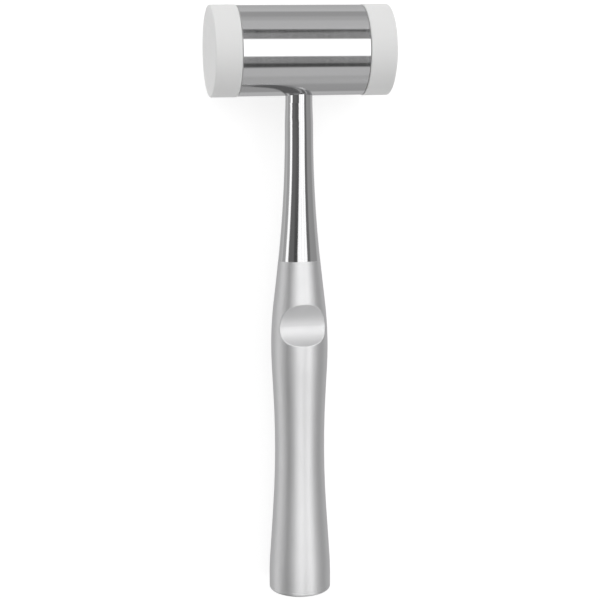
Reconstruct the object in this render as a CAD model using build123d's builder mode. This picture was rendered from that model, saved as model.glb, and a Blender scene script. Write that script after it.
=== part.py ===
from build123d import *
import os
from math import acos, asin, atan2, cos, degrees, hypot, radians, sin, tan

# Surgical mallet with a hollow one-hand grip and two screwed plastic striking faces, in millimetres.
# It lies on its back: both faces and the end of the handle touch z = 0, the thumb rest looks up,
# the head's axis runs along X and the handle runs towards -Y.
# The origin is on the resting surface, under the middle of the whole mallet.

# Striking faces, each a disc and a threaded spigot in one piece
face_d = 30.0
face_thickness = 8.75
face_edge_radius = 0.5
face_seam_chamfer = 0.2
spigot_d = 12.0
spigot_length = 9.0
spigot_chamfer = 1.0
thread_clearance = 0.05
bore_end_gap = 1.0
drill_point_angle = 118.0

# Head barrel, turned from bar, with the faces standing a little proud of it
face_step = 0.2
barrel_d = face_d - 2 * face_step
barrel_length = 42.3
barrel_chamfer = 0.3

# Socket in the barrel that takes the neck, and the stud that joins the two
socket_depth = 3.5
stud_in_head = 5.5
stud_in_neck = 13.0
stud_chamfer = 0.6
fit_clearance = 0.03

# Handle outline: cones and cylinders between the rings below, blended by large arcs.
# Each run is measured along the axis, from the ring before.
root_straight = 2.2
root_d = 9.0
collar_run = 7.0
collar_step = 0.225
collar_d = root_d + 2 * collar_step
collar_blend = 60.0
neck_run = 25.4
neck_d = 9.45
neck_blend = 414.0
swell_run = 46.3
swell_d = 20.1
swell_blend = 134.0
waist_run = 41.1
waist_d = 15.8
waist_blend = 338.0
flare_run = 41.2
flare_blend = 85.0
mouth_run = 7.1
mouth_d = 21.25
wall = 1.5

# Thumb rest: a long entry arc and a shorter exit arc that meet at its lowest line
rest_above_swell = 3.8
rest_floor_height = 5.25
rest_entry_radius = 11.0
rest_exit_radius = 6.35
rest_lip_radius = 0.35
rest_overrun = 2.5

# End cap, with a register that sits in the mouth of the handle
cap_thickness = 1.5
cap_edge_radius = 0.8
cap_seam_chamfer = 0.1
register_length = 3.0
register_gap = 0.2
mouth_rim = 1.3

# Distances along the handle, from the head's axis
socket_floor_y = barrel_d / 2 - socket_depth
root_y = barrel_d / 2 + root_straight
collar_y = root_y + collar_run
neck_y = collar_y + neck_run
swell_y = neck_y + swell_run
waist_y = swell_y + waist_run
flare_y = waist_y + flare_run
mouth_y = flare_y + mouth_run
end_y = mouth_y + cap_thickness
rest_y = swell_y - rest_above_swell

# Fits that follow from the sizes above
neck_bore_d = root_d - 2 * wall
stud_d = neck_bore_d - 2 * fit_clearance
mouth_bore_d = mouth_d - 2 * mouth_rim
register_d = mouth_bore_d - 2 * fit_clearance
register_bore_length = register_length + register_gap

# The tilt at which the striking faces and the rounded edge of the end cap touch one flat surface
edge_y = end_y - cap_edge_radius
edge_r = mouth_d / 2 - cap_edge_radius
tilt = asin((face_d / 2 - cap_edge_radius) / hypot(edge_y, edge_r)) - atan2(edge_r, edge_y)
reach = edge_y * cos(tilt) + edge_r * sin(tilt) + cap_edge_radius
head_centre = (0, (reach - face_d / 2) / 2, face_d / 2)

# The mallet's own plane has X along the head, Y up the handle and Z out of the thumb rest
mallet = Plane(origin=head_centre, x_dir=(1, 0, 0), z_dir=(0, -sin(tilt), cos(tilt)))
head_axis = Axis(mallet.origin, mallet.x_dir)
handle_axis = Axis(mallet.origin, -mallet.y_dir)

# Its side plane has X down the handle and Y out of the thumb rest
side = Plane(origin=head_centre, x_dir=-mallet.y_dir, z_dir=-mallet.x_dir)


def cross_section(distance):
    """Plane square to the handle, at a distance from the head's axis, looking down the handle."""
    return Plane(side.from_local_coords((distance, 0, 0)), x_dir=mallet.x_dir, z_dir=-mallet.y_dir)


def handle_section(inset):
    """Half section of the handle, inset from its outside, on the side away from the thumb rest."""
    rings = (
        (root_y, inset - root_d / 2),
        (collar_y, inset - collar_d / 2),
        (neck_y, inset - neck_d / 2),
        (swell_y, inset - swell_d / 2),
        (waist_y, inset - waist_d / 2),
        (flare_y, inset - mouth_d / 2),
        (mouth_y - cap_seam_chamfer, inset - mouth_d / 2),
    )
    blends = (collar_blend, neck_blend, swell_blend, waist_blend, flare_blend)
    with BuildSketch(side) as section:
        with BuildLine():
            FilletPolyline(*rings, radius=blends)
            Polyline(
                rings[-1],
                (mouth_y, inset + cap_seam_chamfer - mouth_d / 2),
                (mouth_y, 0),
                (socket_floor_y, 0),
                (socket_floor_y, inset - root_d / 2),
                rings[0],
            )
        make_face()
    return section.sketch


def rest_section(skin):
    """Side view of what the thumb rest takes away, with a skin of metal added under its floor."""
    entry = rest_entry_radius + skin
    leave = rest_exit_radius + skin
    entry_centre = rest_floor_height + rest_entry_radius
    leave_centre = rest_floor_height + rest_exit_radius
    top = swell_d / 2 + rest_overrun
    entry_sweep = degrees(acos((entry_centre - top) / entry))
    with BuildSketch(side) as section:
        with BuildLine():
            entry_arc = CenterArc((rest_y, entry_centre), entry, -90, -entry_sweep)
            exit_arc = CenterArc((rest_y, leave_centre), leave, -90, 90)
            Polyline(exit_arc @ 1, (rest_y + leave, top), entry_arc @ 1)
        make_face()
    return section.sketch


os.makedirs("parts", exist_ok=True)

# Head barrel: a cylinder bored from both ends for the faces, with a socket for the neck below
with BuildPart() as head_barrel:
    with BuildSketch(mallet):
        Rectangle(barrel_length, barrel_d / 2, align=(Align.CENTER, Align.MIN))
    revolve(axis=head_axis)
    chamfer(head_barrel.edges().filter_by(GeomType.CIRCLE), barrel_chamfer)
    bore_r = spigot_d / 2 + thread_clearance
    bore_depth = spigot_length + bore_end_gap
    point_depth = bore_depth + bore_r / tan(radians(drill_point_angle / 2))
    for hand in (-1, 1):
        with BuildSketch(mallet):
            with BuildLine():
                Polyline(
                    (hand * barrel_length / 2, 0),
                    (hand * barrel_length / 2, bore_r),
                    (hand * (barrel_length / 2 - bore_depth), bore_r),
                    (hand * (barrel_length / 2 - point_depth), 0),
                    close=True,
                )
            make_face()
        revolve(axis=head_axis, mode=Mode.SUBTRACT)
    with BuildSketch(cross_section(socket_floor_y)):
        Circle(root_d / 2 + fit_clearance)
    extrude(amount=barrel_d / 2, mode=Mode.SUBTRACT)
    with BuildSketch(cross_section(socket_floor_y)):
        Circle(stud_d / 2 + fit_clearance)
    extrude(amount=-stud_in_head - bore_end_gap, mode=Mode.SUBTRACT)
head_barrel.part.label = "head_barrel"
export_step(head_barrel.part, "parts/head_barrel.step")

# Striking faces: a disc with a rounded striking edge, and a spigot that screws into the barrel
for name, hand in (("left", -1), ("right", 1)):
    seat = Plane(mallet.from_local_coords((hand * barrel_length / 2, 0, 0)), z_dir=hand * mallet.x_dir)
    with BuildPart() as striking_face:
        with BuildSketch(seat):
            Circle(face_d / 2)
        extrude(amount=face_thickness)
        rims = striking_face.edges().filter_by(GeomType.CIRCLE).sort_by(Axis(seat.origin, seat.z_dir))
        fillet(rims[-1], face_edge_radius)
        chamfer(rims[0], face_seam_chamfer)
        with BuildSketch(seat):
            Circle(spigot_d / 2)
        extrude(amount=-spigot_length)
        tip = striking_face.faces().sort_by(Axis(seat.origin, seat.z_dir))[0]
        chamfer(tip.edges(), spigot_chamfer)
    striking_face.part.label = "striking_face_" + name
    export_step(striking_face.part, "parts/striking_face_" + name + ".step")

# Stud that the neck and the head share
with BuildPart() as neck_stud:
    with BuildSketch(cross_section(socket_floor_y - stud_in_head)):
        Circle(stud_d / 2)
    extrude(amount=stud_in_head + stud_in_neck)
    chamfer(neck_stud.edges().filter_by(GeomType.CIRCLE), stud_chamfer)
neck_stud.part.label = "neck_stud"
export_step(neck_stud.part, "parts/neck_stud.step")

# Hollow inside of the handle, which keeps one wall all round, also behind the thumb rest
with BuildPart() as cavity:
    revolve(handle_section(wall), axis=handle_axis)
    extrude(rest_section(wall), amount=swell_d, both=True, mode=Mode.SUBTRACT)

# Handle: a formed tube, dished for the thumb, with its mouth bored for the end cap
with BuildPart() as handle_shell:
    revolve(handle_section(0), axis=handle_axis)
    extrude(rest_section(0), amount=swell_d, both=True, mode=Mode.SUBTRACT)
    lips = handle_shell.edges(Select.LAST).filter_by(GeomType.LINE, reverse=True)
    fillet(lips, rest_lip_radius)
    add(cavity.part, mode=Mode.SUBTRACT)
    with BuildSketch(cross_section(mouth_y)):
        Circle(mouth_bore_d / 2)
    extrude(amount=-register_bore_length, mode=Mode.SUBTRACT)
handle_shell.part.label = "handle_shell"
export_step(handle_shell.part, "parts/handle_shell.step")

# End cap: a round plate that closes the handle
with BuildPart() as end_cap:
    with BuildSketch(cross_section(mouth_y)):
        Circle(mouth_d / 2)
    extrude(amount=cap_thickness)
    rims = end_cap.edges().filter_by(GeomType.CIRCLE).sort_by(handle_axis)
    fillet(rims[-1], cap_edge_radius)
    chamfer(rims[0], cap_seam_chamfer)
    with BuildSketch(cross_section(mouth_y)):
        Circle(register_d / 2)
    extrude(amount=-register_length)
end_cap.part.label = "end_cap"
export_step(end_cap.part, "parts/end_cap.step")
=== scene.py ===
import math

import bpy
from mathutils import Matrix, Vector


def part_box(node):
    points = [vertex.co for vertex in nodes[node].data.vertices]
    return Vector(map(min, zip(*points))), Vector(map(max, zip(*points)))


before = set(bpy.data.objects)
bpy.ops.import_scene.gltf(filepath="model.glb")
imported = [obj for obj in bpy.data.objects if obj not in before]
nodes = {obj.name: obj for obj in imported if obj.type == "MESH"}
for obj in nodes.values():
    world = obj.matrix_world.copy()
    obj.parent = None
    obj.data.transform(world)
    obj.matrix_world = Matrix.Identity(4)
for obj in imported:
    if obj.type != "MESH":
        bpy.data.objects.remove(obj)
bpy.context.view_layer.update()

MM = 0.001

# The photograph's view, turned and raised from square on to the mallet, in degrees.
# The camera looks at a point down the handle from the head's axis and to its right.
VIEW_YAW = 11.61
VIEW_PITCH = 11.12
VIEW_ROLL = -0.11
VIEW_DISTANCE = 543.6 * MM
VIEW_LENS = 96.0
AIM_DOWN = 83.85 * MM
AIM_ACROSS = 0.25 * MM
NEAR_CLIP = 10.0 * MM
FAR_CLIP = 20000.0 * MM

# Where the polished neck meets the satin grip, down the handle from the head's axis
FINISH_LINE = 70.1 * MM
FINISH_SLANT = 4.0
FINISH_EDGE = 0.12 * MM

# Colours of the bare surfaces, and the steel's where it is seen edge on
STEEL = (0.66, 0.66, 0.665, 1.0)
STEEL_AT_EDGE = (0.75, 0.75, 0.755, 1.0)
SATIN_STEEL = (0.72, 0.72, 0.725, 1.0)
PTFE = (0.69, 0.69, 0.687, 1.0)

# Roughness of each finish, how far its grain spreads that either way, and how much more it blurs
# reflections along the piece than across it
BARREL_ROUGHNESS = 0.115
BARREL_SPREAD = 0.015
BARREL_STRETCH = 0.75
NECK_ROUGHNESS = 0.07
SATIN_ROUGHNESS = 0.46
SATIN_SPREAD = 0.02
SATIN_STRETCH = 0.6
PTFE_ROUGHNESS = 0.44
PTFE_SPREAD = 0.04
PTFE_IOR = 1.36
PTFE_SCATTER = 0.12
PTFE_SCATTER_DEPTH = 0.8 * MM

# Size of the marks of each finish, and how deep they are
RING_GRAIN = 0.35 * MM
RING_LENGTH = 40.0 * MM
RING_DEPTH = 0.0012 * MM
STROKE_GRAIN = 0.45 * MM
STROKE_LENGTH = 25.0 * MM
STROKE_DEPTH = 0.003 * MM
BLAST_GRAIN = 0.16 * MM
BLAST_DEPTH = 0.012 * MM
CAP_RING_DEPTH = 0.004 * MM
PTFE_RING = 0.3 * MM
PTFE_RING_DEPTH = 0.006 * MM
PATCH_GRAIN = 6.0 * MM

# How many finer layers each grain has, and the values between which a grain mostly runs
TURNED_DETAIL = 5.0
STROKE_DETAIL = 4.0
RING_DETAIL = 3.0
PATCH_DETAIL = 3.0
BLAST_DETAIL = 2.0
GRAIN_LIMITS = (0.3, 0.7)

# Polishing has eased the ring between collar and neck: its place down the handle, how far the
# easing reaches each way, how deep it is and how round at its middle
COLLAR_PLACE = 24.0 * MM
COLLAR_REACH = 7.0 * MM
COLLAR_DEPTH = 0.056 * MM
COLLAR_ROUNDING = 0.6 * MM

# Studio round the mallet, by angle across (to its right) and rise (towards its head), in degrees.
# The room turns to the ceiling's brightness over a stretch of rise or fall, and to the backdrop's
# behind the mallet.
ROOM = 0.6
CEILING = 0.62
CEILING_RISE = (15.0, 60.0)
BACKDROP = 1.0
# The sky, the key and the strip lean: each side goes from its first to its second angle across
# as the rise goes through the spread
SKY_LIGHT = 2.6
SKY_LEFT = (-32.0, -54.0)
SKY_RIGHT = (50.0, 70.0)
SKY_SPREAD = (-12.0, 15.0)
SKY_RISE = (-28.0, 57.0)
SKY_EDGE = 6.0
SIDE_LIGHT = 1.45
SIDE_ACROSS = (-124.0, -99.0)
SIDE_RISE = (-45.0, 50.0)
SIDE_EDGE = 6.0
# Each patch: its limits across and in rise, the width of its soft edge, and its brightness
PATCHES = (
    ("left_behind", (-158.0, -124.0), (-60.0, 60.0), 6.0, 0.76),
    ("left_above", (-150.0, -40.0), (46.0, 76.0), 6.0, 1.1),
    ("right_below", (62.0, 94.0), (-80.0, -38.0), 6.0, 2.2),
    ("below", (-170.0, 56.0), (-95.0, -40.0), 6.0, 0.28),
    ("left_flag", (-88.0, -52.0), (-38.0, 42.0), 6.0, 0.32),
    ("right_side", (66.0, 104.0), (-60.0, 60.0), 6.0, 0.48),
    ("left_gap", (-122.0, -90.0), (-12.0, 12.0), 5.0, 0.6),
    ("camera_side", (-84.0, -8.0), (-12.0, 12.0), 4.0, 0.22),
    ("beside_key", (-30.0, -8.0), (-12.0, -1.0), 4.0, 0.17),
    ("above_key_side", (-42.0, -8.0), (-1.0, 12.0), 4.0, 0.1),
    ("right_wall", (34.0, 70.0), (-12.0, 12.0), 5.0, 0.48),
    ("right_flag", (34.0, 52.0), (-12.0, 12.0), 4.0, 0.24),
)
# What only the barrel shows: rings about its axis, in a slot to the right of straight ahead.
# Each ring: its limits in degrees from straight out, towards the head's top, edge and brightness.
SLOT = (5.0, 18.5)
SLOT_EDGE = 1.5
RINGS = (
    ("behind", (-175.0, 175.0), 3.0, 0.86),
    ("dim", (-128.0, 118.0), 4.0, 0.54),
    ("pale", (-92.0, 97.0), 5.0, 0.66),
    ("bright", (-66.0, 84.0), 5.0, 0.78),
    ("dark", (-41.0, 57.0), 2.5, 0.08),
    ("frame", (-30.0, 48.0), 1.5, 0.3),
    ("key", (-12.5, 31.0), 1.6, 2.05),
)
# Key lamp, and the strip lamp that leans with it
KEY_LEFT = (-10.0, -27.0)
KEY_RIGHT = (29.0, 41.0)
KEY_SPREAD = (-3.0, 6.0)
KEY_RISE = (-12.5, 31.0)
KEY_EDGE = 3.0
KEY_END_EDGE = 1.0
KEY_LIGHT = 1.87
STRIP_MIDDLE = (-77.0, -100.0)
STRIP_HALF = 9.5
STRIP_RISE = (-12.0, 11.0)
STRIP_EDGE = 4.0
STRIP_END_EDGE = 3.0
STRIP_LIGHT = 1.95

# Floor: its colour, its glow as seen and its glow as it lights the mallet
FLOOR_HALF = 3000.0 * MM
FLOOR_COLOUR = 0.35
FLOOR_GLOW = 0.74
FLOOR_FILL = 0.9

# How far the flat ends win over the rounded corners that they meet, in shading, out of 100
FLAT_WEIGHT = 100


def middle(box):
    """The centre of a box given by its lowest and highest corners."""
    return (box[0] + box[1]) / 2


head_centre = middle(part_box("head_barrel"))
end_centre = middle(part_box("end_cap"))
down = (end_centre - head_centre).normalized()
across = Vector((1.0, 0.0, 0.0))
out = down.cross(across).normalized()


class Tree:
    """A short way to write a shader's nodes."""

    def __init__(self, owner):
        owner.use_nodes = True
        self.tree = owner.node_tree
        self.tree.nodes.clear()

    def add(self, kind, **settings):
        node = self.tree.nodes.new("ShaderNode" + kind)
        for key, value in settings.items():
            setattr(node, key, value)
        return node

    def feed(self, socket, value):
        if isinstance(value, bpy.types.NodeSocket):
            self.tree.links.new(value, socket)
        else:
            socket.default_value = value

    def math(self, operation, *values):
        node = self.add("Math", operation=operation)
        for socket, value in zip(node.inputs, values):
            self.feed(socket, value)
        return node.outputs[0]

    def dot(self, vector, direction):
        node = self.add("VectorMath", operation="DOT_PRODUCT")
        self.feed(node.inputs[0], vector)
        self.feed(node.inputs[1], direction)
        return node.outputs["Value"]

    def ramp(self, value, start, end, low=0.0, high=1.0, smooth=False):
        node = self.add("MapRange", interpolation_type="SMOOTHSTEP" if smooth else "LINEAR")
        for socket, number in zip(node.inputs, (value, start, end, low, high)):
            self.feed(socket, number)
        return node.outputs[0]

    def band(self, value, limits, soft):
        """One between the limits, falling to zero over the soft width at each."""
        rise = self.ramp(value, limits[0] - soft, limits[0] + soft, smooth=True)
        fall = self.ramp(value, limits[1] - soft, limits[1] + soft, 1.0, 0.0, smooth=True)
        return self.math("MULTIPLY", rise, fall)

    def between(self, value, left, right, soft):
        """One between two limits that may vary, with a soft edge at each."""
        past_left = self.ramp(self.math("SUBTRACT", value, left), -soft, soft, smooth=True)
        short_of_right = self.ramp(self.math("SUBTRACT", right, value), -soft, soft, smooth=True)
        return self.math("MULTIPLY", past_left, short_of_right)

    def blend(self, below, above, mask):
        """The value below where the mask is zero, and the one above where it is one."""
        node = self.add("Mix", data_type="FLOAT")
        for socket, number in zip(node.inputs, (mask, None, below, above)):
            if number is not None:
                self.feed(socket, number)
        return node.outputs[0]

    def lay(self, light, level, *masks):
        """The light, with another level over it where every mask is one."""
        mask = masks[0]
        for other in masks[1:]:
            mask = self.math("MULTIPLY", mask, other)
        return self.blend(light, level, mask)

    def seen_directly(self):
        """One for what the camera, a reflection or a refraction sees, and zero for diffuse light."""
        path = self.add("LightPath")
        seen = self.math("MAXIMUM", path.outputs["Is Camera Ray"], path.outputs["Is Glossy Ray"])
        return self.math("MAXIMUM", seen, path.outputs["Is Transmission Ray"])

    def output(self, shader, world=False):
        node = self.add("OutputWorld" if world else "OutputMaterial")
        self.feed(node.inputs["Surface"], shader)


def mallet_axes():
    """Columns: along the head, up the handle, out of the thumb rest."""
    return Matrix((across, -down, out)).transposed()


def make_camera():
    """A camera at the photograph's angle and distance, aimed at the middle of its picture."""
    yaw, pitch, roll = (math.radians(angle) for angle in (VIEW_YAW, VIEW_PITCH, VIEW_ROLL))
    back = Vector((-math.sin(yaw) * math.cos(pitch), math.sin(pitch), math.cos(yaw) * math.cos(pitch)))
    level = Vector((math.cos(yaw), 0.0, math.sin(yaw)))
    right = Matrix.Rotation(roll, 3, back) @ level
    turn = Matrix((right, back.cross(right), back)).transposed()
    turn = mallet_axes() @ turn
    aim = head_centre + down * AIM_DOWN + turn.col[0] * AIM_ACROSS
    camera = bpy.data.objects.new("photo_camera", bpy.data.cameras.new("photo_camera"))
    bpy.context.scene.collection.objects.link(camera)
    camera.data.lens = VIEW_LENS
    camera.data.clip_start = NEAR_CLIP
    camera.data.clip_end = FAR_CLIP
    camera.matrix_world = Matrix.Translation(aim + turn.col[2] * VIEW_DISTANCE) @ turn.to_4x4()
    bpy.context.scene.camera = camera


def steel_shader(n, roughness, colour, normal):
    """Bare steel, a little paler where it is seen edge on."""
    shader = n.add("BsdfPrincipled")
    shader.inputs["Base Color"].default_value = colour
    shader.inputs["Metallic"].default_value = 1.0
    n.feed(shader.inputs["Roughness"], roughness)
    shader.inputs["Specular Tint"].default_value = STEEL_AT_EDGE
    n.feed(shader.inputs["Normal"], normal)
    return shader


def place_from_head(n):
    """The shaded point, measured from the middle of the head."""
    coords = n.add("TexCoord")
    node = n.add("VectorMath", operation="SUBTRACT")
    n.feed(node.inputs[0], coords.outputs["Object"])
    node.inputs[1].default_value = head_centre
    return node.outputs["Vector"]


def from_axis(n, point, axis):
    """Distance along an axis through the middle of the head, and distance from that axis."""
    along = n.dot(point, axis)
    length = n.add("VectorMath", operation="LENGTH")
    n.feed(length.inputs[0], point)
    whole = length.outputs["Value"]
    squares = n.math("SUBTRACT", n.math("MULTIPLY", whole, whole), n.math("MULTIPLY", along, along))
    return along, n.math("SQRT", n.math("MAXIMUM", squares, 0.0))


def stretched(n, *parts):
    """A texture place from distances, each given with the grain size along it."""
    node = n.add("CombineXYZ")
    for socket, (distance, size) in zip(node.inputs, parts):
        n.feed(socket, n.math("DIVIDE", distance, size))
    return node.outputs[0]


def even(n, point, size):
    """A texture place with one grain size every way."""
    return stretched(n, *((n.dot(point, axis), size) for axis in (across, out, down)))


def grain(n, place, detail):
    """Noise between zero and one, with grains of unit size at the texture place."""
    node = n.add("TexNoise")
    n.feed(node.inputs["Vector"], place)
    node.inputs["Scale"].default_value = 1.0
    node.inputs["Detail"].default_value = detail
    return node.outputs[0]


def mottled(n, noise, roughness, spread):
    """A roughness that varies with the grain."""
    return n.ramp(noise, *GRAIN_LIMITS, roughness - spread, roughness + spread)


def bump(n, height, depth, normal=None):
    """The normal of a skin raised by the height times the depth."""
    node = n.add("Bump")
    node.inputs["Strength"].default_value = 1.0
    node.inputs["Distance"].default_value = depth
    n.feed(node.inputs["Height"], height)
    if normal:
        n.feed(node.inputs["Normal"], normal)
    return node.outputs[0]


def blurred_along(n, shader, axis, amount):
    """Stretches a shader's reflections along an axis."""
    shader.inputs["Anisotropic"].default_value = amount
    along = n.add("CombineXYZ")
    for socket, value in zip(along.inputs, axis):
        socket.default_value = value
    n.feed(shader.inputs["Tangent"], along.outputs[0])


def satin_shader(n, point, grained):
    """Blasted steel, blurred more along the handle than round it."""
    patchy = grain(n, even(n, point, PATCH_GRAIN), PATCH_DETAIL)
    shader = steel_shader(n, mottled(n, patchy, SATIN_ROUGHNESS, SATIN_SPREAD), SATIN_STEEL, grained)
    blurred_along(n, shader, down, SATIN_STRETCH)
    return shader


def blasted(n, point):
    """The fine pitted skin that glass beads leave."""
    return bump(n, grain(n, even(n, point, BLAST_GRAIN), BLAST_DETAIL), BLAST_DEPTH)


def make_barrel_steel():
    """Bright polish over the fine rings left by turning."""
    material = bpy.data.materials.new("barrel_steel")
    n = Tree(material)
    point = place_from_head(n)
    place = stretched(n, (n.dot(point, across), RING_GRAIN), (n.dot(point, out), RING_LENGTH))
    turned = grain(n, place, TURNED_DETAIL)
    roughness = mottled(n, turned, BARREL_ROUGHNESS, BARREL_SPREAD)
    shader = steel_shader(n, roughness, STEEL, bump(n, turned, RING_DEPTH))
    blurred_along(n, shader, across, BARREL_STRETCH)
    n.output(shader.outputs[0])
    return material


def eased_collar(n, point):
    """A shallow hollow round the neck, deepest at the collar's ring and gone at its reach."""
    past_collar = n.math("SUBTRACT", n.dot(point, down), COLLAR_PLACE)
    squared = n.math("MULTIPLY_ADD", past_collar, past_collar, COLLAR_ROUNDING ** 2)
    near_collar = n.math("SQRT", squared)
    eased = n.math("POWER", n.ramp(near_collar, COLLAR_REACH, 0.0), 2.0)
    return bump(n, n.math("MULTIPLY", eased, -1.0), COLLAR_DEPTH)


def make_handle_steel():
    """Polished lengthwise down to the finish line, and blasted satin below it."""
    material = bpy.data.materials.new("handle_steel")
    n = Tree(material)
    point = place_from_head(n)
    slanted = down + out * math.tan(math.radians(FINISH_SLANT))
    step = n.ramp(n.dot(point, slanted), FINISH_LINE - FINISH_EDGE, FINISH_LINE + FINISH_EDGE)
    sides = ((n.dot(point, across), STROKE_GRAIN), (n.dot(point, out), STROKE_GRAIN))
    strokes = grain(n, stretched(n, *sides, (n.dot(point, down), STROKE_LENGTH)), STROKE_DETAIL)
    scored = bump(n, strokes, STROKE_DEPTH, eased_collar(n, point))
    polished = steel_shader(n, NECK_ROUGHNESS, STEEL, scored)
    mix = n.add("MixShader")
    n.feed(mix.inputs[0], step)
    n.feed(mix.inputs[1], polished.outputs[0])
    n.feed(mix.inputs[2], satin_shader(n, point, blasted(n, point)).outputs[0])
    n.output(mix.outputs[0])
    return material


def make_cap_steel():
    """Satin like the grip, with the rings of a facing cut on its flat."""
    material = bpy.data.materials.new("cap_steel")
    n = Tree(material)
    point = place_from_head(n)
    along, away = from_axis(n, point, down)
    rings = grain(n, stretched(n, (along, RING_GRAIN), (away, RING_GRAIN)), RING_DETAIL)
    faced = bump(n, rings, CAP_RING_DEPTH, blasted(n, point))
    n.output(satin_shader(n, point, faced).outputs[0])
    return material


def make_ptfe():
    """White fluoroplastic, a little translucent, with faint marks of turning."""
    material = bpy.data.materials.new("ptfe")
    n = Tree(material)
    along, away = from_axis(n, place_from_head(n), across)
    rings = grain(n, stretched(n, (along, PTFE_RING), (away, PTFE_RING)), RING_DETAIL)
    shader = n.add("BsdfPrincipled")
    shader.inputs["Base Color"].default_value = PTFE
    n.feed(shader.inputs["Roughness"], mottled(n, rings, PTFE_ROUGHNESS, PTFE_SPREAD))
    shader.inputs["IOR"].default_value = PTFE_IOR
    shader.inputs["Subsurface Weight"].default_value = PTFE_SCATTER
    shader.inputs["Subsurface Radius"].default_value = (1.0, 1.0, 1.0)
    shader.inputs["Subsurface Scale"].default_value = PTFE_SCATTER_DEPTH
    n.feed(shader.inputs["Normal"], bump(n, rings, PTFE_RING_DEPTH))
    n.output(shader.outputs[0])
    return material


def make_floor():
    """A pale matt floor that glows, so that it is white and keeps a soft shadow."""
    signs = ((-1, -1), (1, -1), (1, 1), (-1, 1))
    corners = [(x * FLOOR_HALF, y * FLOOR_HALF, 0.0) for x, y in signs]
    mesh = bpy.data.meshes.new("floor")
    mesh.from_pydata(corners, [], [(0, 1, 2, 3)])
    floor = bpy.data.objects.new("floor", mesh)
    bpy.context.scene.collection.objects.link(floor)
    # the steel reflects the lower half of the studio instead of the floor
    floor.visible_glossy = False
    material = bpy.data.materials.new("pale_floor")
    n = Tree(material)
    diffuse = n.add("BsdfDiffuse")
    diffuse.inputs["Color"].default_value = (FLOOR_COLOUR, FLOOR_COLOUR, FLOOR_COLOUR, 1.0)
    glow = n.add("Emission")
    n.feed(glow.inputs["Strength"], n.blend(FLOOR_FILL, FLOOR_GLOW, n.seen_directly()))
    both = n.add("AddShader")
    n.feed(both.inputs[0], diffuse.outputs[0])
    n.feed(both.inputs[1], glow.outputs[0])
    n.output(both.outputs[0])
    mesh.materials.append(material)


def leaning(n, rise, spread, *sides):
    """Angles across that each go from one end to the other as the rise goes through the spread."""
    return [n.ramp(rise, *spread, *ends) for ends in sides]


def surroundings(n, turn, rise, facing):
    """The room, the sky over the mallet, the light beside it and the flags and panels between."""
    light = n.ramp(n.math("ABSOLUTE", rise), *CEILING_RISE, ROOM, CEILING)
    light = n.blend(light, BACKDROP, n.ramp(facing, 0.0, -1.0))
    side = n.band(turn, SIDE_ACROSS, SIDE_EDGE)
    light = n.lay(light, SIDE_LIGHT, side, n.band(rise, SIDE_RISE, SIDE_EDGE))
    left, right = leaning(n, rise, SKY_SPREAD, SKY_LEFT, SKY_RIGHT)
    sky = n.between(turn, left, right, SKY_EDGE)
    light = n.lay(light, SKY_LIGHT, sky, n.band(rise, SKY_RISE, SKY_EDGE))
    for _, wide, high, edge, level in PATCHES:
        light = n.lay(light, level, n.band(turn, wide, edge), n.band(rise, high, edge))
    return light


def lamps(n, light, turn, rise):
    """The key lamp ahead of the mallet, and the narrow strip on its left."""
    left, right, strip = leaning(n, rise, KEY_SPREAD, KEY_LEFT, KEY_RIGHT, STRIP_MIDDLE)
    key = n.between(turn, left, right, KEY_EDGE)
    light = n.lay(light, KEY_LIGHT, key, n.band(rise, KEY_RISE, KEY_END_EDGE))
    strip_left = n.math("SUBTRACT", strip, STRIP_HALF)
    strip_right = n.math("ADD", strip, STRIP_HALF)
    strip = n.between(turn, strip_left, strip_right, STRIP_EDGE)
    return n.lay(light, STRIP_LIGHT, strip, n.band(rise, STRIP_RISE, STRIP_END_EDGE))


def barrel_rings(n, light, x, ring):
    """What the barrel reflects, in the slot that only it can show."""
    slot = n.band(n.math("DEGREES", n.math("ARCSINE", x)), SLOT, SLOT_EDGE)
    for _, high, edge, level in RINGS:
        light = n.lay(light, level, slot, n.band(ring, high, edge))
    return light


def make_studio():
    """The world's light, laid from the back to the front, and white to the camera itself."""
    world = bpy.data.worlds.new("studio")
    bpy.context.scene.world = world
    n = Tree(world)
    ray = n.add("TexCoord").outputs["Generated"]
    x, y, z = (n.dot(ray, axis) for axis in (across, -down, out))
    turn = n.math("DEGREES", n.math("ARCTAN2", x, z))
    rise = n.math("DEGREES", n.math("ARCSINE", y))
    ring = n.math("DEGREES", n.math("ARCTAN2", y, z))
    light = surroundings(n, turn, rise, z)
    light = lamps(n, light, turn, rise)
    light = barrel_rings(n, light, x, ring)
    path = n.add("LightPath")
    light = n.blend(light, 1.0, path.outputs["Is Camera Ray"])
    background = n.add("Background")
    n.feed(background.inputs["Strength"], light)
    n.output(background.outputs[0], world=True)


make_camera()
make_studio()
make_floor()
barrel_steel = make_barrel_steel()
ptfe = make_ptfe()
finishes = {
    "head_barrel": barrel_steel,
    "neck_stud": barrel_steel,
    "handle_shell": make_handle_steel(),
    "end_cap": make_cap_steel(),
    "striking_face_left": ptfe,
    "striking_face_right": ptfe,
}
for name, material in finishes.items():
    nodes[name].data.materials.clear()
    nodes[name].data.materials.append(material)
    if name != "handle_shell":
        # keeps flat ends flat where they meet a rounded edge
        flats = nodes[name].modifiers.new("flat_ends", "WEIGHTED_NORMAL")
        flats.weight = FLAT_WEIGHT
        flats.keep_sharp = True

bpy.context.scene.view_settings.view_transform = "Standard"
